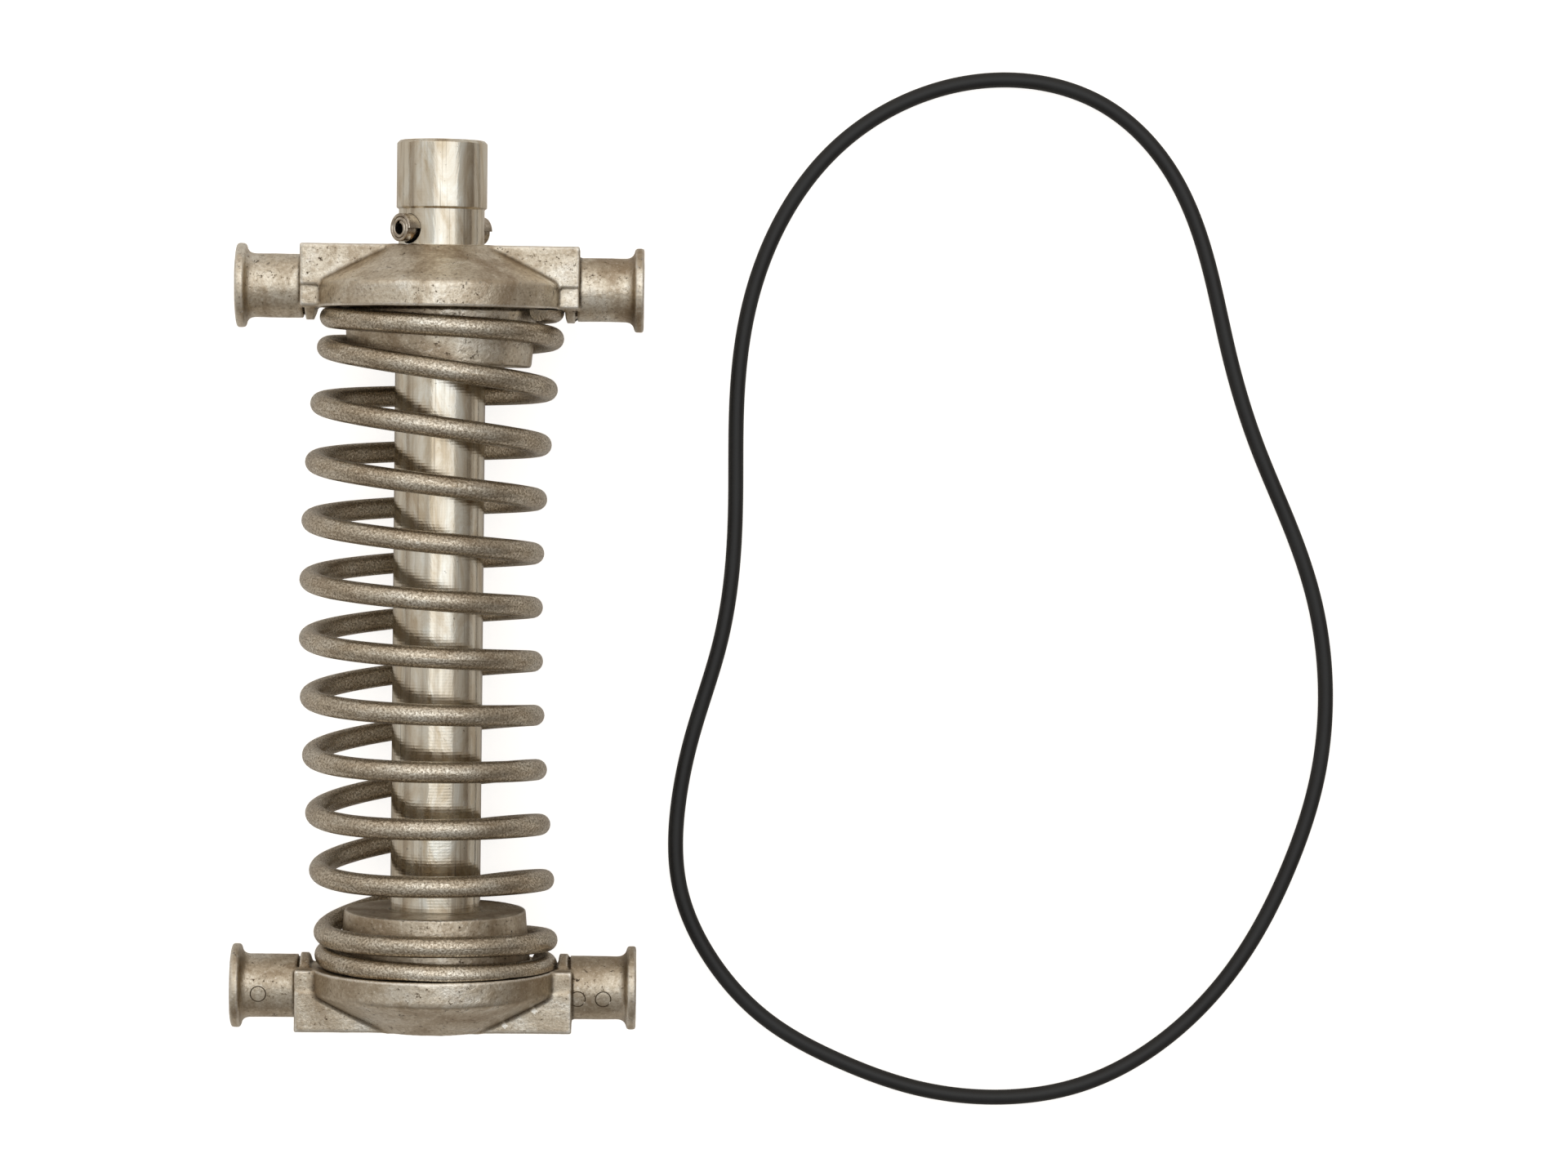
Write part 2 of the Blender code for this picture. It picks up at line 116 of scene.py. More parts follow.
# ---- guide rod: heights are measured from the fixed yoke's outer face
ROD_R = 15.0 * MM
ROD_FOOT = 15.3 * MM
NECK_R = 14.2 * MM
NECK_H = 12.4 * MM
HEAD_H = 22.3 * MM
ROD_CHAMFER = 1.0 * MM
CENTRE_R = 3.4 * MM
CENTRE_PILOT_R = 1.6 * MM
CENTRE_DEEP = 6.0 * MM

# ---- spring
WIRE_R = 3.55 * MM
COIL_R = 37.0 * MM
SPAN = 219.7 * MM
TURNS = 13.13
FIRST_TURN = -0.08            # where the wire starts at the sliding yoke, in turns
# turns from the wire's end, and how many wire diameters its centre has risen there
END_TURNS = (0.0, 0.5, 1.0, 1.5, 2.0)
SLIDING_RISE = (0.0, 0.27, 1.08, 1.93, 3.17)
FIXED_RISE = (0.0, 0.45, 1.06, 1.85, 3.50)
SIDE_SHIFT = 0.5 * MM         # the whole spring sits a little off the boss's middle
BOW = 6.1 * MM                # the coils sag sideways half-way along
BOW_FROM = 10.0 * MM          # from the seat to where the bow starts
BOW_SKEW = 0.87               # below 1 the bow is widest nearer the sliding yoke
LEAN = 2.8 * MM               # tip of the coils at the bow's two ends, in opposite senses
LEAN_EVEN = -0.47 * MM        # tip that all the coils share
SETTLE_FROM = 7.0 * MM        # from the seat to where the coils start to tip
SETTLE_RUN = 8.0 * MM         # and how much further on they are fully tipped
CLOSED_PITCH = 1.03 * 2 * WIRE_R  # coils come no closer than this when the spring is pressed
WIRE_STEPS = 96
WIRE_SIDES = 24

# ---- pin, bushes and fastener
PIN_R = 4.9 * MM
PIN_HALF = 18.2 * MM
PIN_STRIP = 1.1 * MM
PIN_WRAP_GAP = 0.12 * MM
PIN_TURNS = 2.25
PIN_STEP_FROM = 0.55
PIN_ANGLE = 43.0
BUSH_R = 17.0 * MM
BUSH_BORE_R = 15.1 * MM
BUSH_H = 15.0 * MM
BUSH_INSET = 1.0 * MM
SCREW_R = 5.0 * MM
SCREW_HEAD_R = 8.0 * MM
SCREW_HEAD_H = 6.5 * MM
SCREW_END = 33.0 * MM
SCREW_KEY = 7.0 * MM
SCREW_KEY_DEEP = 3.6 * MM
WASHER_R = 9.0 * MM
WASHER_H = 2.2 * MM
WASHER_SLOT = 1.4 * MM
COUNTERBORE_R = 10.2 * MM
COUNTERBORE_DEEP = 9.5 * MM

# ---- seal ring: half-millimetre points on its centre line, as in the CAD
RING_WIRE_R = 2.665 * MM
RING_OUTLINE = (
    (0.5, 175.5), (31.5, 167.5), (55.5, 144.5), (69, 112.5), (76.5, 82.5), (87, 50.5),
    (98.5, 24), (107.5, -1.5), (112, -31), (110, -62.5), (100.5, -94.5), (82.5, -129),
    (53.5, -158.5), (29, -171), (0, -175.5), (-27.5, -172.5), (-55, -163), (-80, -149),
    (-98.5, -129.5), (-110.5, -103.5), (-111.5, -75.5), (-106.5, -49.5), (-98, -20), (-94, 5),
    (-93, 31.5), (-93, 64.5), (-90, 93), (-79.5, 124.5), (-60, 151.5), (-32, 169.5),
)

# ---- fineness of the round pieces
ROD_FACETS = 160
BUSH_FACETS = 128
SCREW_FACETS = 96
HOLE_FACETS = 72
RING_STEPS = 560
RING_SIDES = 28
CURVE_STEPS = 24              # points between two neighbours of the ring's outline

# ---- stage
FLOOR_GLOW = 0.78             # what the floor adds where it is seen directly
FLOOR_HALF = 6.0
FLOOR_Z = -0.1 * MM
SOFTBOX_PLACE = (0.5, 0.62, 2.2)
SOFTBOX_SIZE = (2.6, 1.9)
SOFTBOX_WATTS = 9.5
CAMERA_PLACE = (-0.0633, 0.0674, 1.4431)
CAMERA_AIM = (-0.0030, 0.0002, 0.0)
CAMERA_ROLL = 0.0134
CAMERA_LENS = 96.34

TOP_FACE = 2 * SEAT + SPAN
NECK_TOP = TOP_FACE + NECK_H
ROD_TOP = NECK_TOP + HEAD_H
PIN_HEIGHT = TOP_FACE + GAP + PIN_R


# ------------------------------------------------------------------ frames
def module_frame():
    """The module's frame in the row frame, from the CAD box of the rod."""
    rod_low, rod_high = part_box("guide_rod")
    face_y = rod_low.y - ROD_FOOT
    middle = (rod_low + rod_high) / 2
    place = Matrix.Translation((middle.x, face_y, middle.z))
    return place @ Euler((-math.pi / 2, 0.0, 0.0)).to_matrix().to_4x4()


def sliding_yoke_frame():
    """The same casting turned over, with its outer face at the rod's pinned end."""
    turned_over = Matrix.Rotation(math.pi, 4, "X")
    return MODULE @ Matrix.Translation((0, 0, TOP_FACE)) @ turned_over


def pin_frame():
    """Z along the pin, square to the rod, with the origin in the pin's middle."""
    tilt = Euler((math.pi / 2, 0.0, math.radians(PIN_ANGLE - 90.0))).to_matrix().to_4x4()
    return MODULE @ Matrix.Translation((0, 0, PIN_HEIGHT)) @ tilt


MODULE = module_frame()


# ------------------------------------------------------------------ meshes
def make_object(name, vertices, faces, place, mat, sharp=35.0):
    """A mesh object in the row frame, shaded smooth except at edges sharper than the angle."""
    mesh = bpy.data.meshes.new(name)
    mesh.from_pydata(np.asarray(vertices).tolist(), [], [list(face) for face in faces])
    mesh.transform(place)
    mesh.update()
    mesh.materials.append(mat)
    mesh.shade_smooth()
    if sharp:
        mesh.set_sharp_from_angle(angle=math.radians(sharp))
    obj = bpy.data.objects.new(name, mesh)
    bpy.context.scene.collection.objects.link(obj)
    return obj


def stands_for(obj, node, body):
    """Declares that obj rides on the body and takes the CAD node's place."""
    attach(obj, body)
    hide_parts(node)


def round_corners(outline, size, steps=4):
    """The outline with its corners rounded; each curve starts size away from its corner."""
    points = [np.array(point, dtype=float) for point in outline]
    rounded = [points[0]]
    for before, corner, after in zip(points, points[1:], points[2:]):
        back, ahead = before - corner, after - corner
        reach = min(size, 0.45 * np.linalg.norm(back), 0.45 * np.linalg.norm(ahead))
        start = corner + back / np.linalg.norm(back) * reach
        end = corner + ahead / np.linalg.norm(ahead) * reach
        for t in np.linspace(0.0, 1.0, steps + 1):
            rounded.append((1 - t) ** 2 * start + 2 * t * (1 - t) * corner + t * t * end)
    rounded.append(points[-1])
    return rounded


def divide(outline, step):
    """The outline with points added so that none are more than step apart."""
    fine = [np.array(outline[0], dtype=float)]
    for point in outline[1:]:
        start, end = fine[-1], np.array(point, dtype=float)
        count = max(1, math.ceil(np.linalg.norm(end - start) / step))
        fine += [start + (end - start) * i / count for i in range(1, count + 1)]
    return fine


def turned(profile, segments, loop=False):
    """Solid of revolution about Z from (radius, height) points that run down its outer side."""
    angles = np.linspace(0.0, 2 * math.pi, segments, endpoint=False)
    vertices, rings = [], []
    for radius, height in profile:
        first = len(vertices)
        if radius < 1e-7:
            vertices.append((0.0, 0.0, height))
            rings.append([first] * segments)
            continue
        vertices += [(radius * math.cos(a), radius * math.sin(a), height) for a in angles]
        rings.append(list(range(first, first + segments)))
    faces = []
    pairs = list(zip(rings, rings[1:]))
    if loop:
        pairs.append((rings[-1], rings[0]))
    for upper, lower in pairs:
        for i in range(segments):
            j = (i + 1) % segments
            corners = [upper[i], lower[i], lower[j], upper[j]]
            faces.append(list(dict.fromkeys(corners)))
    return vertices, faces


def cut(obj, cutter):
    """Takes the cutter away from obj and removes it."""
    boolean = obj.modifiers.new("cut", "BOOLEAN")
    boolean.operation = "DIFFERENCE"
    boolean.solver = "EXACT"
    boolean.object = cutter
    graph = bpy.context.evaluated_depsgraph_get()
    mesh = bpy.data.meshes.new_from_object(obj.evaluated_get(graph))
    obj.modifiers.clear()
    obj.data = mesh
    obj.data.shade_smooth()
    obj.data.set_sharp_from_angle(angle=math.radians(35))
    bpy.data.objects.remove(cutter, do_unlink=True)


def swept(centres, radius, sides, outward, closed):
    """Round tube along the centres; side 0 lies towards outward, so it doesn't twist."""
    if closed:
        ahead = np.roll(centres, -1, axis=0) - np.roll(centres, 1, axis=0)
    else:
        ahead = np.gradient(centres, axis=0)
    ahead /= np.linalg.norm(ahead, axis=1, keepdims=True)
    normal = outward - ahead * np.sum(outward * ahead, axis=1, keepdims=True)
    normal /= np.linalg.norm(normal, axis=1, keepdims=True)
    across = np.cross(ahead, normal)
    angles = np.linspace(0.0, 2 * math.pi, sides, endpoint=False)
    ring = np.cos(angles)[None, :, None] * normal[:, None] \
        + np.sin(angles)[None, :, None] * across[:, None]
    radii = np.broadcast_to(radius, len(centres))[:, None, None]
    vertices = (centres[:, None] + radii * ring).reshape(-1, 3)
    count = len(centres)
    faces = []
    for i in range(count if closed else count - 1):
        here, there = i * sides, (i + 1) % count * sides
        for j in range(sides):
            k = (j + 1) % sides
            faces.append((here + j, there + j, there + k, here + k))
    return vertices, faces


# ------------------------------------------------------------------ castings
def smooth_max(a, b, reach):
    """Larger of two distances, with the edge between them rounded over the reach."""
    overlap = np.maximum(reach - np.abs(a - b), 0.0) / reach
    return np.maximum(a, b) + overlap * overlap * reach / 4


def smooth_min(a, b, reach):
    """Smaller of two distances, with a fillet of the reach between them."""
    return -smooth_max(-a, -b, reach)


def body_distance(radius, z):
    """Rim, cone and boss: everything that is round about the yoke's axis."""
    run, rise = RIM_R - CONE_R, CONE_TOP - CONE_FACE
    cone = ((radius - CONE_R) * rise - (z - CONE_FACE) * run) / math.hypot(run, rise)
    rim = smooth_max(radius - RIM_R, cone, RIM_EDGE)
    rim = smooth_max(rim, z - SEAT, SEAT_EDGE)
    rim = np.maximum(rim, CONE_FACE - z)
    taper = (BOSS_R - BOSS_TIP_R) / BOSS_H
    boss = radius - BOSS_R + (z - SEAT) * taper
    boss = smooth_max(boss, z - SEAT - BOSS_H, BOSS_EDGE)
    boss = np.maximum(boss, SEAT - BOSS_BURIED - z)
    return smooth_min(rim, boss, EDGE)


def bar_distance(x, y, z):
    """Bar between the arms, a little thinner along its spring side."""
    ends = smooth_max(np.abs(x) - BAR_HALF, -z, EDGE)
    wide = smooth_max(np.abs(y) - BAR_WIDE / 2, z - (BAR_TALL - PANEL_TALL), BAR_EDGE)
    narrow = smooth_max(np.abs(y) - (BAR_WIDE / 2 - PANEL_STEP), z - BAR_TALL, PANEL_EDGE)
    return smooth_max(smooth_min(wide, narrow, PANEL_CORNER), ends, PANEL_EDGE)


def arm_distance(x, y, z, radius):
    """Two round trunnions with their end flanges, grooves and hubs."""
    along = np.abs(x)
    around = np.hypot(y, z - ARM_HEIGHT)
    journal = np.maximum(around - JOURNAL_R, along - FLANGE_IN - BURIED)
    journal = smooth_max(journal, GROOVE_END - along, HUB_EDGE)
    flange = smooth_max(around - FLANGE_R, along - ARM_END, FLANGE_EDGE)
    flange = smooth_max(flange, FLANGE_IN - along, FLANGE_LIP)
    core = np.maximum(around - GROOVE_R, along - GROOVE_END - BURIED)
    core = np.maximum(core, ARM_ROOT - along)
    hub = smooth_max(around - HUB_R, along - HUB_END, HUB_EDGE)
    pocket = np.maximum(radius - POCKET_R, POCKET_FLOOR - z)
    hub = smooth_max(np.maximum(hub, ARM_ROOT - along), -pocket, POCKET_EDGE)
    core = np.maximum(core, -pocket)
    arm = smooth_min(journal, flange, FLANGE_CORNER)
    return smooth_min(arm, np.minimum(core, hub), HUB_CORNER)


def fixed_bore(radius, z):
    """Socket for the rod's foot, the screw's hole and its counterbore."""
    socket = np.maximum(radius - ROD_R - GAP, ROD_FOOT - GAP - z)
    counterbore = np.maximum(radius - COUNTERBORE_R, z - COUNTERBORE_DEEP)
    return np.minimum(np.minimum(socket, counterbore), radius - SCREW_R - 2 * GAP)


def sliding_bore(radius, _):
    """Plain bore for the two bushes, right through."""
    return radius - BUSH_R - GAP


def yoke_distance(points, bore):
    """The whole casting, less the bore that the caller gives."""
    x, y, z = points[:, 0], points[:, 1], points[:, 2]
    radius = np.hypot(x, y)
    solid = smooth_min(body_distance(radius, z), bar_distance(x, y, z), BAR_CORNER)
    solid = smooth_min(solid, arm_distance(x, y, z, radius), EDGE)
    return smooth_max(solid, -bore(radius, z), BORE_EDGE)


def grid_surface(distance, low, high, cell):
    """Quads of the surface where the distance is zero, one vertex for each cell it crosses."""
    axes = [np.arange(a, b + cell, cell) for a, b in zip(low, high)]
    grid = np.stack(np.meshgrid(*axes, indexing="ij"), axis=-1)
    shape = grid.shape[:3]
    field = distance(grid.reshape(-1, 3)).reshape(shape)
    inside = field < 0.0
    total = np.zeros(shape + (3,))
    hits = np.zeros(shape)
    crossings = []
    for axis in range(3):
        a = [slice(None)] * 3
        b = [slice(None)] * 3
        a[axis], b[axis] = slice(0, -1), slice(1, None)
        spots = np.argwhere(inside[tuple(a)] != inside[tuple(b)])
        ahead = np.eye(3, dtype=int)[axis]
        start = field[tuple(spots.T)]
        end = field[tuple((spots + ahead).T)]
        point = spots + ahead * (start / (start - end))[:, None]
        sides = [np.eye(3, dtype=int)[(axis + 1) % 3], np.eye(3, dtype=int)[(axis + 2) % 3]]
        ring = [spots, spots - sides[0], spots - sides[0] - sides[1], spots - sides[1]]
        for cells in ring:
            np.add.at(total, tuple(cells.T), point)
            np.add.at(hits, tuple(cells.T), 1)
        crossings.append((ring, start < 0))
    used = hits > 0
    index = np.full(shape, -1)
    index[used] = np.arange(used.sum())
    vertices = total[used] / hits[used][:, None] * cell + np.array([axis[0] for axis in axes])
    faces = []
    for ring, leaving in crossings:
        quad = np.stack([index[tuple(cells.T)] for cells in ring], axis=1)
        quad[~leaving] = quad[~leaving][:, ::-1]
        faces.append(quad)
    return vertices, np.concatenate(faces)


def slope_of(distance, points, step=0.02 * MM):
    """Direction in which the distance grows fastest, by central differences."""
    parts = []
    for axis in np.eye(3):
        parts.append(distance(points + axis * step) - distance(points - axis * step))
    return np.stack(parts, axis=1) / (2 * step)


def settle_on(distance, vertices, rounds=4):
    """Moves the vertices onto the surface."""
    for _ in range(rounds):
        slope = slope_of(distance, vertices)
        steep = np.maximum(np.sum(slope * slope, axis=1), 0.05)
        push = np.clip(distance(vertices) / steep, -0.5 * CELL, 0.5 * CELL)
        vertices = vertices - slope * push[:, None]
    return vertices


def cast_skin(distance, vertices, seed):
    """Sinks the surface a little and unevenly, as a casting's skin, but not in turned bores."""
    slope = slope_of(distance, vertices)
    slope /= np.maximum(np.linalg.norm(slope, axis=1, keepdims=True), 1e-6)
    offset = Vector((seed, 0.0, 0.0))
    depth = []
    for vertex in vertices:
        place = Vector(vertex)
        swell = noise.fractal(place / (11 * MM) + offset, 1.0, 2.0, 2)
        grain = noise.fractal(place / (1.7 * MM) + offset, 1.0, 2.0, 2)
        depth.append(0.09 * MM * (1 + swell) + 0.035 * MM * (1 + grain))
    depth = np.clip(np.array(depth), 0.0, 0.4 * MM)
    radius = np.hypot(vertices[:, 0], vertices[:, 1])
    depth = np.where(radius < BUSH_R + 2 * GAP, 0.0, depth)
    return vertices - slope * depth[:, None]


def mould_mark(x, drop):
    """Fine raised ring left by an ejector on a journal: a tube on the camera's side."""
    angles = np.linspace(0.0, 2 * math.pi, MARK_STEPS, endpoint=False)
    mark_x = x + MARK_R * np.cos(angles)
    height = ARM_HEIGHT - drop + MARK_R * np.sin(angles)
    off_axis = height - ARM_HEIGHT
    deep = -np.sqrt(JOURNAL_R ** 2 - off_axis ** 2) + MARK_SUNK
    centres = np.stack([mark_x, deep, height], axis=1)
    outward = np.stack([np.zeros(MARK_STEPS), deep, off_axis], axis=1)
    vertices, faces = swept(centres, MARK_BEAD, MARK_SIDES, outward, True)
    return vertices, np.array(faces)


def make_casting(name, bore, place, mat, seed, marks=()):
    """One yoke as a fine mesh; marks are (x, drop) places of ejector marks on its journals."""
    def distance(points):
        return yoke_distance(points, bore)

    edge = 2 * CELL
    low = (-ARM_END - edge, -RIM_R - edge, -FLANGE_R + ARM_HEIGHT - edge)
    high = (ARM_END + edge, RIM_R + edge, SEAT + BOSS_H + edge)
    vertices, faces = grid_surface(distance, low, high, CELL)
    vertices = cast_skin(distance, settle_on(distance, vertices), seed)
    vertices[:, 0] = np.clip(vertices[:, 0], -ARM_END, ARM_END)
    for mark in marks:
        more, quads = mould_mark(*mark)
        faces = np.concatenate([faces, quads + len(vertices)])
        vertices = np.concatenate([vertices, more])
    return make_object(name, vertices, faces, place, mat, sharp=None)


# ------------------------------------------------------------------ turned parts
def make_rod(mat):
    """Ground bar with a turned neck, a centre-drilled free end and the pin's cross hole."""
    profile = [
        (0.0, ROD_TOP - CENTRE_DEEP),
        (CENTRE_PILOT_R, ROD_TOP - CENTRE_DEEP),
        (CENTRE_PILOT_R, ROD_TOP - CENTRE_R + CENTRE_PILOT_R),
        (CENTRE_R, ROD_TOP),
        (ROD_R - ROD_CHAMFER, ROD_TOP),
        (ROD_R, ROD_TOP - ROD_CHAMFER),
        (ROD_R, NECK_TOP),
        (NECK_R, NECK_TOP - 0.5 * MM),
        (NECK_R, TOP_FACE),
        (ROD_R, TOP_FACE - (ROD_R - NECK_R)),
        (ROD_R, ROD_FOOT + ROD_CHAMFER),
        (ROD_R - ROD_CHAMFER, ROD_FOOT),
        (0.0, ROD_FOOT),
    ]
    profile = divide(round_corners(profile, 0.25 * MM), 1.2 * MM)
    rod = make_object("guide_rod_ground", *turned(profile, ROD_FACETS), MODULE, mat)
    reach = 2 * ROD_R
    hole_r = PIN_R + 0.1 * MM
    hole_profile = [(0.0, reach), (hole_r, reach), (hole_r, -reach), (0.0, -reach)]
    hole = make_object("pin_hole", *turned(hole_profile, HOLE_FACETS), pin_frame(), mat)
    cut(rod, hole)
    return rod


def make_bush(name, low, mat):
    """Thin sleeve round the rod, from the height low upwards."""
    high = low + BUSH_H
    profile = round_corners([
        (BUSH_BORE_R, (low + high) / 2),
        (BUSH_BORE_R, high),
        (BUSH_R, high),
        (BUSH_R, low),
        (BUSH_BORE_R, low),
        (BUSH_BORE_R, (low + high) / 2),
    ], 0.4 * MM)[:-1]
    return make_object(name, *turned(profile, BUSH_FACETS, loop=True), MODULE, mat)


def make_screw(mat):
    """Low-head cap screw with a hexagon socket."""
    head_top = COUNTERBORE_DEEP - 2 * GAP - WASHER_H
    head_low = head_top - SCREW_HEAD_H
    profile = round_corners([
        (0.0, SCREW_END),
        (SCREW_R, SCREW_END),
        (SCREW_R, head_top),
        (SCREW_HEAD_R, head_top),
        (SCREW_HEAD_R, head_low),
        (0.0, head_low),
    ], 0.5 * MM)
    screw = make_object("anchor_screw_head", *turned(profile, SCREW_FACETS), MODULE, mat)
    key_r = SCREW_KEY / math.sqrt(3)
    socket_floor = head_low + SCREW_KEY_DEEP
    key = [(0.0, socket_floor + 1.2 * MM), (key_r, socket_floor), (key_r, head_low - 1 * MM),
           (0.0, head_low - 1 * MM)]
    cut(screw, make_object("key", *turned(key, 6), MODULE, mat))
    return screw


def make_washer(mat):
    """Split spring washer: its section swept round, from one side of the slot to the other."""
    low = COUNTERBORE_DEEP - GAP - WASHER_H
    bore_r = SCREW_R + GAP
    edge = 0.25 * MM
    section = [
        (bore_r + edge, low), (WASHER_R - edge, low), (WASHER_R, low + edge),
        (WASHER_R, low + WASHER_H - edge), (WASHER_R - edge, low + WASHER_H),
        (bore_r + edge, low + WASHER_H), (bore_r, low + WASHER_H - edge), (bore_r, low + edge),
    ]
    half_slot = WASHER_SLOT / 2 / WASHER_R
    angles = np.linspace(half_slot, 2 * math.pi - half_slot, 90)
    sides = len(section)
    vertices = [(r * math.cos(a), r * math.sin(a), h) for a in angles for r, h in section]
    faces = [(i * sides + j, (i + 1) * sides + j, (i + 1) * sides + (j + 1) % sides,
              i * sides + (j + 1) % sides)
             for i in range(len(angles) - 1) for j in range(sides)]
    faces.append(tuple(range(sides)))
    faces.append(tuple(range(len(vertices) - 1, len(vertices) - 1 - sides, -1)))
    return make_object("split_washer", vertices, faces, MODULE, mat)


def make_pin(mat):
    """Spring strip rolled into a spiral, with its ends pulled in by a small chamfer."""
    steps = 180
    turn = np.linspace(0.0, PIN_TURNS, steps + 1)
    step_in = np.clip((turn % 1.0 - PIN_STEP_FROM) / (1.0 - PIN_STEP_FROM), 0.0, 1.0)
    outer_r = PIN_R - (PIN_STRIP + PIN_WRAP_GAP) * (np.floor(turn) + step_in)
    angle = 2 * math.pi * turn
    lean = np.stack([np.cos(angle), np.sin(angle)], axis=1)
    outer = outer_r[:, None] * lean
    inner = (outer_r - PIN_STRIP)[:, None] * lean
    edge = 0.22 * MM
    outer_in = (outer_r - edge)[:, None] * lean
    inner_in = (outer_r - PIN_STRIP + edge)[:, None] * lean
    layers = []
    for height, wall, bore in (
        (-PIN_HALF, outer_in, inner_in),
        (-PIN_HALF + edge, outer, inner),
        (PIN_HALF - edge, outer, inner),
        (PIN_HALF, outer_in, inner_in),
    ):
        loop = np.concatenate([wall, bore[::-1]])
        layers.append(np.column_stack([loop, np.full(len(loop), height)]))
    size = len(layers[0])
    faces = []
    for layer in range(3):
        for i in range(size):
            j = (i + 1) % size
            faces.append((layer * size + i, layer * size + j,
                          (layer + 1) * size + j, (layer + 1) * size + i))
    last = 3 * size
    for i in range(steps):
        a, b, c, d = i, i + 1, size - 2 - i, size - 1 - i
        faces.append((d, c, b, a))
        faces.append((last + a, last + b, last + c, last + d))
    return make_object("coiled_pin", np.concatenate(layers), faces, pin_frame(), mat)


# ------------------------------------------------------------------ spring
def wire_rise(turns):
    """Rise of the wire's centre above its own end, smoothed over a quarter turn."""
    first = 2 * WIRE_R * np.array(SLIDING_RISE)
    last = 2 * WIRE_R * np.flip(FIXED_RISE)
    knots = np.concatenate([END_TURNS, TURNS - np.flip(END_TURNS)])
    heights = np.concatenate([first, SPAN - 2 * GAP - last])
    spread = np.linspace(-0.125, 0.125, 9)
    return sum(np.interp(turns + s, knots, heights) for s in spread) / len(spread)


def coil_line(per_turn):
    """Turns, distance from the sliding yoke's seat, and centre line in the module's frame."""
    turn = np.linspace(0.0, TURNS, round(TURNS * per_turn) + 1)
    along = GAP + wire_rise(turn)
    share = np.clip((along - BOW_FROM) / (SPAN - 2 * BOW_FROM), 0.0, 1.0) ** BOW_SKEW
    from_seat = np.minimum(along, SPAN - along)
    settle = np.clip((from_seat - SETTLE_FROM) / SETTLE_RUN, 0.0, 1.0)
    tip = (LEAN * np.cos(math.pi * share) + LEAN_EVEN) * settle
    angle = -2 * math.pi * (turn + FIRST_TURN)
    x = SIDE_SHIFT - BOW * np.sin(math.pi * share) + COIL_R * np.cos(angle)
    y = -COIL_R * np.sin(angle)
    z = SEAT + SPAN - along - tip * np.cos(angle)
    outward = np.stack([np.cos(angle), -np.sin(angle), np.zeros_like(angle)], axis=1)
    return turn, along, np.stack([x, y, z], axis=1), outward


def squeeze_share(turn, along):
    """How far each point goes with the sliding yoke: open coils close up, closed ones can't."""
    rise = np.interp(turn + 0.5, turn, along) - np.interp(turn - 0.5, turn, along)
    spare = np.maximum(rise - CLOSED_PITCH, 0.0)
    spare[(turn < turn[0] + 0.5) | (turn > turn[-1] - 0.5)] = 0.0
    total = np.concatenate([[0.0], np.cumsum((spare[1:] + spare[:-1]) / 2)])
    return 1.0 - total / total[-1]


def make_spring(mat):
    """Swept wire ground flat on both seats."""
    turn, along, centres, outward = coil_line(WIRE_STEPS)
    share = squeeze_share(turn, along)
    radius = np.full(len(centres), WIRE_R)
    vertices, faces = swept(centres, radius, WIRE_SIDES, outward, False)
    vertices[:, 2] = np.clip(vertices[:, 2], SEAT + GAP, SEAT + SPAN - GAP)
    last = len(vertices) - WIRE_SIDES
    faces.append(tuple(range(WIRE_SIDES - 1, -1, -1)))
    faces.append(tuple(range(last, last + WIRE_SIDES)))
    spring = make_object("compression_spring_wire", vertices, faces, MODULE, mat, sharp=35.0)

    run = np.concatenate([[0.0], np.cumsum(np.linalg.norm(np.diff(centres, axis=0), axis=1))])
    lay_wire_map(spring, run, WIRE_SIDES)

    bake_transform(spring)
    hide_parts("compression_spring")
    return spring


def lay_wire_map(obj, run, sides):
    """UV map in decimetres along and round a swept wire, for grain that stays on the wire."""
    layer = obj.data.uv_layers.new(name="wire")
    round_step = 2 * math.pi * WIRE_R / sides
    for polygon in obj.data.polygons:
        corners = [obj.data.loops[i].vertex_index for i in polygon.loop_indices]
        wraps = len(corners) == 4 and max(c % sides for c in corners) == sides - 1 \
            and min(c % sides for c in corners) == 0
        for loop, corner in zip(polygon.loop_indices, corners):
            ring, side = divmod(corner, sides)
            if wraps and side == 0:
                side = sides
            layer.data[loop].uv = (run[ring] * 10, side * round_step * 10)


# ------------------------------------------------------------------ seal ring
def closed_curve(points, count):
    """Evenly spaced points on the smooth periodic cubic through the given points."""
    knots = np.array(points, dtype=float)
    n = len(knots)
    chord = np.linalg.norm(np.roll(knots, -1, axis=0) - knots, axis=1)
    system = np.zeros((n, n))
    right = np.zeros((n, 2))
    for i in range(n):
        before, after = chord[i - 1], chord[i]
        nxt = (i + 1) % n
        system[i, i - 1] += before
        system[i, i] += 2 * (before + after)
        system[i, nxt] += after
        right[i] = 6 * ((knots[nxt] - knots[i]) / after - (knots[i] - knots[i - 1]) / before)
    bend = np.linalg.solve(system, right)
    fine = []
    for i in range(n):
        nxt = (i + 1) % n
        length = chord[i]
        for t in np.linspace(0.0, length, CURVE_STEPS, endpoint=False):
            back = length - t
            fine.append(
                (bend[i] * back ** 3 + bend[nxt] * t ** 3) / (6 * length)
                + (knots[i] / length - bend[i] * length / 6) * back
                + (knots[nxt] / length - bend[nxt] * length / 6) * t)
    fine = np.array(fine + [fine[0]])
    run = np.concatenate([[0.0], np.cumsum(np.linalg.norm(np.diff(fine, axis=0), axis=1))])
    even = np.linspace(0.0, run[-1], count, endpoint=False)
    return np.stack([np.interp(even, run, fine[:, axis]) for axis in (0, 1)], axis=1)


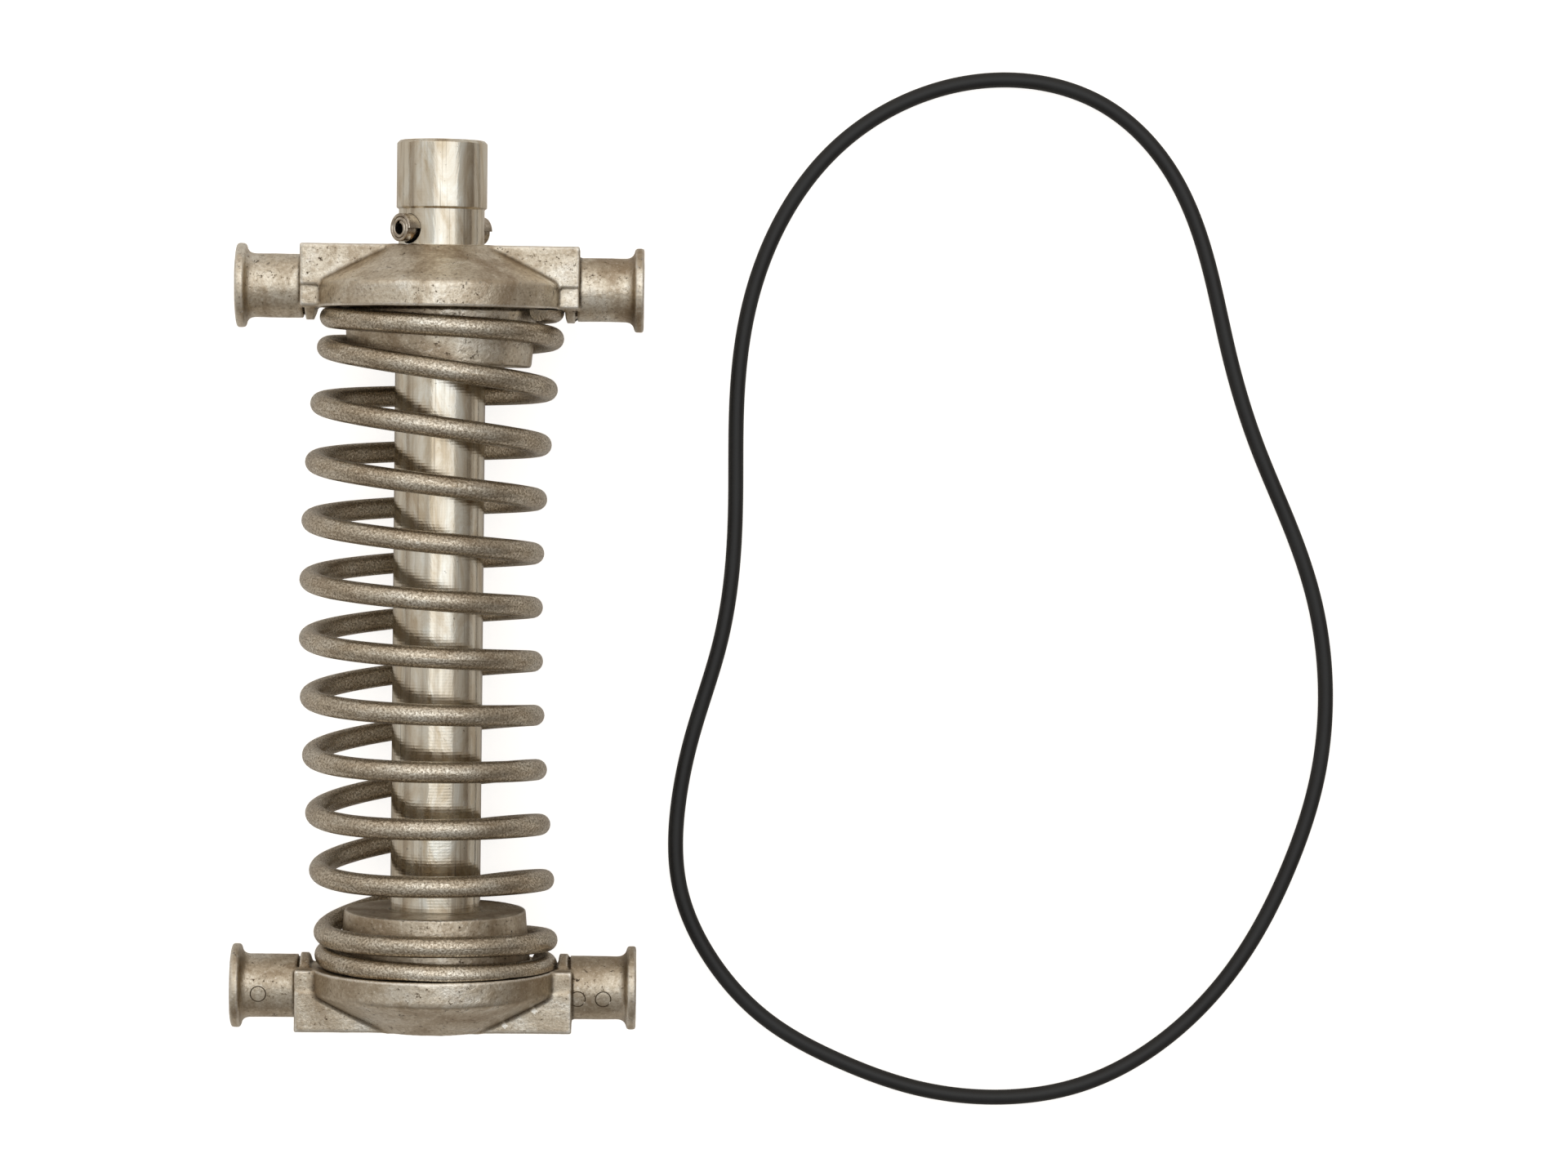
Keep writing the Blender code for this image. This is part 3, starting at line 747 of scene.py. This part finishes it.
def make_seal_ring(mat):
    """Rubber ring lying flat, a hair inside the CAD's outline."""
    low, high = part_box("seal_ring")
    path = closed_curve(RING_OUTLINE, RING_STEPS) * MM
    path -= (path.max(axis=0) + path.min(axis=0)) / 2
    centres = np.column_stack([path, np.zeros(len(path))])
    outward = np.tile([0.0, 0.0, 1.0], (len(path), 1))
    radius = RING_WIRE_R - 0.05 * MM
    vertices, faces = swept(centres, radius, RING_SIDES, outward, True)
    place = Matrix.Translation(((low.x + high.x) / 2, (low.y + high.y) / 2, RING_WIRE_R))
    ring = make_object("seal_ring_rubber", vertices, faces, place, mat, sharp=None)
    stands_for(ring, "seal_ring", "seal_ring")
    return ring


# ------------------------------------------------------------------ shader helpers
def add_node(tree, kind, inputs=None, **settings):
    """A node with its settings made and its inputs linked or filled in."""
    node = tree.nodes.new(kind)
    for name, value in settings.items():
        setattr(node, name, value)
    for key, value in (inputs or {}).items():
        socket = node.inputs[key]
        if isinstance(value, bpy.types.NodeSocket):
            tree.links.new(value, socket)
        else:
            socket.default_value = value
    return node


def new_material(name, metallic, roughness=0.4):
    """A material with its node tree and Principled shader."""
    mat = bpy.data.materials.new(name)
    mat.use_nodes = True
    shader = mat.node_tree.nodes["Principled BSDF"]
    shader.inputs["Metallic"].default_value = metallic
    shader.inputs["Roughness"].default_value = roughness
    return mat, mat.node_tree, shader


def stretched(tree, place, scale):
    """Coordinates scaled along each axis, for grain that runs one way."""
    return add_node(tree, "ShaderNodeMapping", {"Vector": place, "Scale": scale}).outputs["Vector"]


def noise_of(tree, place, size, detail=3.0, roughness=0.55, distortion=0.0):
    """Noise from 0 to 1 whose largest features are about size metres."""
    node = add_node(tree, "ShaderNodeTexNoise", {
        "Vector": place, "Scale": 1.0 / size, "Detail": detail, "Roughness": roughness,
        "Distortion": distortion})
    return node.outputs["Fac"]


def ramp(tree, value, *stops):
    """Colour ramp; each stop is (position, grey level) or (position, (r, g, b))."""
    node = add_node(tree, "ShaderNodeValToRGB", {"Fac": value})
    elements = node.color_ramp.elements
    while len(elements) < len(stops):
        elements.new(0.5)
    for element, (position, colour) in zip(elements, stops):
        element.position = position
        if isinstance(colour, (int, float)):
            colour = (colour, colour, colour)
        element.color = (*colour, 1.0)
    return node.outputs["Color"]


def mixed(tree, share, a, b, blend="MIX"):
    """Colour a turning into colour b."""
    node = add_node(tree, "ShaderNodeMix", data_type="RGBA", blend_type=blend)
    for socket, value in ((node.inputs[0], share), (node.inputs[6], a), (node.inputs[7], b)):
        if isinstance(value, bpy.types.NodeSocket):
            tree.links.new(value, socket)
        elif isinstance(value, tuple):
            socket.default_value = (*value, 1.0)
        else:
            socket.default_value = value
    return node.outputs[2]


def spread(tree, value, low, high, to_low, to_high):
    """Maps the range low..high onto to_low..to_high, clamped."""
    node = add_node(tree, "ShaderNodeMapRange", {
        "Value": value, "From Min": low, "From Max": high, "To Min": to_low, "To Max": to_high})
    return node.outputs["Result"]


def combine_math(tree, operation, a, b):
    """One Math node on two values."""
    return add_node(tree, "ShaderNodeMath", {0: a, 1: b}, operation=operation).outputs[0]


def bump(tree, height, depth, under=None):
    """Bump of the given depth in metres, on top of another one if there is one."""
    inputs = {"Height": height, "Distance": depth, "Strength": 1.0}
    if under is not None:
        inputs["Normal"] = under
    return add_node(tree, "ShaderNodeBump", inputs).outputs["Normal"]


def object_place(tree):
    """Object coordinates, in metres."""
    return add_node(tree, "ShaderNodeTexCoord").outputs["Object"]


# ------------------------------------------------------------------ materials
def cast_steel(name, seed, darkening):
    """Shot-blasted investment casting: fine grain, pits, stains, painted shade in the creases,
    worn edges with a painted highlight.

    Darkening is the share of dark brown mixed evenly into its skin.
    """
    mat, tree, shader = new_material(name, 1.0)
    place = add_node(tree, "ShaderNodeMapping", {
        "Vector": object_place(tree), "Location": (seed, 0.0, 0.0)}).outputs["Vector"]
    stain = noise_of(tree, place, 24 * MM, detail=5.0, roughness=0.62, distortion=0.8)
    cloud = noise_of(tree, place, 5 * MM, detail=4.0, roughness=0.7)
    grain = noise_of(tree, place, 1.1 * MM, detail=3.0, roughness=0.75)
    speck = noise_of(tree, place, 2.2 * MM, detail=4.0, roughness=0.85)
    colour = ramp(tree, stain, (0.38, (0.46, 0.37, 0.27)), (0.47, (0.66, 0.58, 0.46)),
                  (0.55, (0.80, 0.73, 0.61)), (0.66, (0.93, 0.90, 0.82)))
    colour = mixed(tree, spread(tree, cloud, 0.50, 0.68, 0.0, 0.55), colour, (0.42, 0.33, 0.23))
    # darker overall by this share of dark brown, more on the fixed yoke than on the sliding one
    colour = mixed(tree, darkening, colour, (0.34, 0.28, 0.21))
    colour = mixed(tree, spread(tree, grain, 0.45, 0.66, 0.0, 0.50), colour, (0.32, 0.25, 0.17))
    colour = mixed(tree, spread(tree, grain, 0.42, 0.30, 0.0, 0.45), colour, (0.95, 0.92, 0.84))
    colour = mixed(tree, spread(tree, speck, 0.61, 0.65, 0.0, 0.85), colour, (0.09, 0.065, 0.045))
    wear_highlight_and_crease_shade = add_node(tree, "ShaderNodeNewGeometry").outputs["Pointiness"]
    ragged_wear_highlight_and_crease_shade = combine_math(tree, "ADD", wear_highlight_and_crease_shade, spread(tree, grain, 0.3, 0.7, -0.015, 0.015))
    # worn edges and painted highlight: the sharpest edges are lightened, as worn metal and as the
    # light they catch
    colour = mixed(tree, spread(tree, ragged_wear_highlight_and_crease_shade, 0.52, 0.56, 0.0, 0.85), colour, (0.98, 0.95, 0.88))
    # painted shade: inside corners and creases, such as between the cone and the bar, are darkened
    colour = mixed(tree, spread(tree, ragged_wear_highlight_and_crease_shade, 0.487, 0.445, 0.0, 0.95), colour,
                   (0.07, 0.05, 0.03))
    tree.links.new(colour, shader.inputs["Base Color"])
    rough = spread(tree, stain, 0.35, 0.65, 0.42, 0.25)
    tree.links.new(rough, shader.inputs["Roughness"])
    pits = spread(tree, speck, 0.60, 0.72, 1.0, 0.0)
    normal = bump(tree, grain, 0.14 * MM)
    normal = bump(tree, cloud, 0.25 * MM, normal)
    normal = bump(tree, pits, 0.15 * MM, normal)
    tree.links.new(normal, shader.inputs["Normal"])
    return mat


def peened_wire(name):
    """Shot-peened spring wire: dimples with painted glints on their crests and painted shade in
    their hollows, dull bronze tint, fine drawing lines.
    """
    mat, tree, shader = new_material(name, 1.0)
    place = add_node(tree, "ShaderNodeUVMap", uv_map="wire").outputs["UV"]
    decimetres = stretched(tree, place, (0.1, 0.1, 0.1))
    lines = stretched(tree, decimetres, (0.02, 1.0, 1.0))
    dimple = noise_of(tree, decimetres, 0.8 * MM, detail=2.0, roughness=0.8)
    stain = noise_of(tree, decimetres, 15 * MM, detail=4.0, roughness=0.65)
    line = noise_of(tree, lines, 0.9 * MM, detail=2.0)
    colour = ramp(tree, stain, (0.34, (0.56, 0.47, 0.36)), (0.50, (0.74, 0.66, 0.54)),
                  (0.66, (0.86, 0.81, 0.71)))
    # painted shade in the dimples' hollows and painted glints on their crests, over the bump of
    # the same dimples
    colour = mixed(tree, spread(tree, dimple, 0.36, 0.60, 0.85, 0.0), colour, (0.18, 0.14, 0.095))
    colour = mixed(tree, spread(tree, dimple, 0.58, 0.70, 0.0, 0.70), colour, (0.97, 0.94, 0.86))
    colour = mixed(tree, spread(tree, line, 0.66, 0.72, 0.0, 0.6), colour, (0.14, 0.105, 0.07))
    tree.links.new(colour, shader.inputs["Base Color"])
    tree.links.new(spread(tree, dimple, 0.35, 0.65, 0.38, 0.20), shader.inputs["Roughness"])
    normal = bump(tree, dimple, 0.12 * MM)
    tree.links.new(normal, shader.inputs["Normal"])
    return mat


def ground_steel(name):
    """Bar steel: lengthwise streaks and pale brown stains, small pits, faint turning bands."""
    mat, tree, shader = new_material(name, 1.0)
    place = object_place(tree)
    streaks = stretched(tree, place, (1.0, 0.03, 1.0))
    streak = noise_of(tree, streaks, 2.4 * MM, detail=5.0, roughness=0.65)
    thin = noise_of(tree, stretched(tree, place, (1.0, 0.012, 1.0)), 0.8 * MM, detail=2.0)
    stain = noise_of(tree, stretched(tree, place, (1.0, 0.35, 1.0)), 9 * MM, detail=5.0,
                     roughness=0.68, distortion=1.0)
    pit = noise_of(tree, place, 2.0 * MM, detail=3.0, roughness=0.7)
    colour = ramp(tree, stain, (0.34, (0.58, 0.49, 0.36)), (0.48, (0.74, 0.68, 0.57)),
                  (0.60, (0.82, 0.80, 0.72)), (0.72, (0.92, 0.91, 0.87)))
    colour = mixed(tree, spread(tree, streak, 0.50, 0.66, 0.0, 0.45), colour, (0.42, 0.36, 0.28))
    colour = mixed(tree, spread(tree, thin, 0.62, 0.70, 0.0, 0.55), colour, (0.24, 0.20, 0.15))
    colour = mixed(tree, spread(tree, pit, 0.68, 0.73, 0.0, 0.8), colour, (0.12, 0.095, 0.07))
    tree.links.new(colour, shader.inputs["Base Color"])
    tree.links.new(spread(tree, streak, 0.3, 0.7, 0.09, 0.22), shader.inputs["Roughness"])
    turning = add_node(tree, "ShaderNodeTexWave", {
        "Vector": place, "Scale": 1.0 / (3.2 * MM), "Distortion": 0.6, "Detail": 1.0},
        wave_type="BANDS", bands_direction="Y").outputs["Fac"]
    normal = bump(tree, turning, 0.004 * MM)
    normal = bump(tree, streak, 0.015 * MM, normal)
    normal = bump(tree, stain, 0.10 * MM, normal)
    tree.links.new(normal, shader.inputs["Normal"])
    return mat


def plain_steel(name, colour, dark, size, roughness):
    """Satin metal of one colour with fine darker mottling, for the pin and small parts."""
    mat, tree, shader = new_material(name, 1.0)
    place = object_place(tree)
    mottle = noise_of(tree, place, size, detail=4.0, roughness=0.7)
    fine = noise_of(tree, place, 0.5 * MM, detail=1.0)
    tint = mixed(tree, spread(tree, mottle, 0.35, 0.65, 0.0, 1.0), colour, dark)
    tree.links.new(tint, shader.inputs["Base Color"])
    tree.links.new(spread(tree, mottle, 0.3, 0.7, roughness, roughness + 0.14),
                   shader.inputs["Roughness"])
    tree.links.new(bump(tree, fine, 0.02 * MM), shader.inputs["Normal"])
    return mat


def black_rubber(name):
    """Moulded nitrile rubber: near black, a soft sheen and a trace of pale dust."""
    mat, tree, shader = new_material(name, 0.0)
    place = object_place(tree)
    bloom = noise_of(tree, place, 14 * MM, detail=4.0, roughness=0.6)
    fine = noise_of(tree, place, 0.35 * MM, detail=2.0, roughness=0.6)
    colour = ramp(tree, bloom, (0.35, (0.006, 0.006, 0.007)), (0.70, (0.013, 0.014, 0.015)))
    tree.links.new(colour, shader.inputs["Base Color"])
    tree.links.new(spread(tree, bloom, 0.3, 0.7, 0.40, 0.50), shader.inputs["Roughness"])
    tree.links.new(bump(tree, fine, 0.015 * MM), shader.inputs["Normal"])
    shader.inputs["Specular IOR Level"].default_value = 0.45
    return mat


# ------------------------------------------------------------------ stage
def make_floor():
    """Paper painted with light and shade: near white far to the left and brown-grey near to the
    right, as if the room were lit from the far left.

    The metal reflects that gradient.  Where the paper is seen directly it glows as well, so that
    it looks evenly white.
    """
    mesh = bpy.data.meshes.new("floor")
    corners = [(x * FLOOR_HALF, y * FLOOR_HALF, FLOOR_Z)
               for x, y in ((-1, -1), (1, -1), (1, 1), (-1, 1))]
    mesh.from_pydata(corners, [], [(0, 1, 2, 3)])
    floor = bpy.data.objects.new("floor", mesh)
    bpy.context.scene.collection.objects.link(floor)
    mat, tree, shader = new_material("floor_paper", 0.0, 0.9)
    where = add_node(tree, "ShaderNodeSeparateXYZ", {"Vector": object_place(tree)}).outputs
    # painted light and shade on the floor: its colour is lighter far away and to the left, and
    # darker near and to the right
    far = spread(tree, where["Y"], -0.6, 0.8, 0.0, 1.0)
    right = spread(tree, where["X"], -0.3, 0.6, 1.0, 0.0)
    bright = combine_math(tree, "MULTIPLY", combine_math(tree, "ADD", far, right), 0.5)
    colour = ramp(tree, bright, (0.0, (0.30, 0.26, 0.22)), (0.5, (0.68, 0.64, 0.59)),
                  (1.0, (0.95, 0.93, 0.90)))
    tree.links.new(colour, shader.inputs["Base Color"])
    seen = add_node(tree, "ShaderNodeLightPath").outputs["Is Camera Ray"]
    glow = combine_math(tree, "MULTIPLY", seen, FLOOR_GLOW)
    tree.links.new(glow, shader.inputs["Emission Strength"])
    shader.inputs["Emission Color"].default_value = (1.0, 1.0, 1.0, 1.0)
    shader.inputs["Specular IOR Level"].default_value = 0.1
    mesh.materials.append(mat)


def make_world():
    """Pale overhead, warmer and dimmer towards the horizon, darkest on the near and right side."""
    world = bpy.data.worlds.new("studio")
    bpy.context.scene.world = world
    world.use_nodes = True
    tree = world.node_tree
    direction = add_node(tree, "ShaderNodeTexCoord").outputs["Generated"]
    part = add_node(tree, "ShaderNodeSeparateXYZ", {"Vector": direction}).outputs
    colour = ramp(tree, part["Z"], (0.0, (0.24, 0.20, 0.16)), (0.30, (0.44, 0.40, 0.35)),
                  (0.70, (0.58, 0.56, 0.53)), (1.0, (0.56, 0.56, 0.55)))
    far = spread(tree, part["Y"], -0.8, 0.8, 0.65, 1.75)
    right = spread(tree, part["X"], 0.2, 1.0, 1.0, 0.55)
    background = tree.nodes["Background"]
    tree.links.new(colour, background.inputs["Color"])
    tree.links.new(combine_math(tree, "MULTIPLY", far, right), background.inputs["Strength"])


def add_softbox(name, place, size, watts):
    """Rectangular light that faces straight down."""
    light = bpy.data.lights.new(name, "AREA")
    light.shape = "RECTANGLE"
    light.size, light.size_y = size
    light.energy = watts
    obj = bpy.data.objects.new(name, light)
    obj.location = place
    bpy.context.scene.collection.objects.link(obj)


def make_camera():
    """Looks almost straight down at the module and the ring."""
    place = Vector(CAMERA_PLACE)
    aim = Vector(CAMERA_AIM)
    back = (place - aim).normalized()
    right = Vector((0.0, 1.0, 0.0)).cross(back).normalized()
    up = back.cross(right)
    right, up = (right * math.cos(CAMERA_ROLL) + up * math.sin(CAMERA_ROLL),
                 up * math.cos(CAMERA_ROLL) - right * math.sin(CAMERA_ROLL))
    camera = bpy.data.objects.new("camera", bpy.data.cameras.new("camera"))
    camera.data.lens = CAMERA_LENS
    camera.data.sensor_width = 36.0
    turn = Matrix((right, up, back)).transposed()
    camera.matrix_world = Matrix.Translation(place) @ turn.to_4x4()
    bpy.context.scene.collection.objects.link(camera)
    bpy.context.scene.camera = camera


# ------------------------------------------------------------------ main
def main():
    ground = ground_steel("ground_bar")
    bronze = plain_steel("bush_bronze", (0.62, 0.42, 0.22), (0.45, 0.28, 0.13), 3 * MM, 0.35)
    pin_steel = plain_steel("pin_steel", (0.66, 0.61, 0.53), (0.34, 0.28, 0.22), 2 * MM, 0.18)
    zinc = plain_steel("fastener_steel", (0.60, 0.60, 0.58), (0.42, 0.42, 0.41), 2 * MM, 0.32)

    marks = ((-58 * MM, 1.5 * MM), (56.5 * MM, 2.5 * MM), (48 * MM, 2.5 * MM))
    fixed = make_casting("fixed_yoke_casting", fixed_bore, MODULE,
                         cast_steel("cast_fixed", 0.3, 0.30), 3.0, marks)
    stands_for(fixed, "fixed_yoke", "strut")
    sliding = make_casting("sliding_yoke_casting", sliding_bore, sliding_yoke_frame(),
                           cast_steel("cast_sliding", 0.0, 0.08), 9.0)
    stands_for(sliding, "sliding_yoke", "sliding_yoke")

    stands_for(make_rod(ground), "guide_rod", "strut")
    stands_for(make_pin(pin_steel), "retaining_pin", "strut")
    stands_for(make_screw(zinc), "rod_anchor_screw", "strut")
    stands_for(make_washer(zinc), "anchor_lock_washer", "strut")
    outer = make_bush("outer_bush_sleeve", TOP_FACE - BUSH_INSET - BUSH_H, bronze)
    stands_for(outer, "outer_guide_bush", "guide_bushes")
    inner = make_bush("inner_bush_sleeve", SEAT + SPAN - BOSS_H + BUSH_INSET, bronze)
    stands_for(inner, "inner_guide_bush", "guide_bushes")

    make_spring(peened_wire("peened_wire"))
    make_seal_ring(black_rubber("seal_rubber"))

    make_floor()
    make_world()
    add_softbox("overhead", SOFTBOX_PLACE, SOFTBOX_SIZE, SOFTBOX_WATTS)
    make_camera()
    bpy.context.scene.view_settings.view_transform = "Standard"


main()
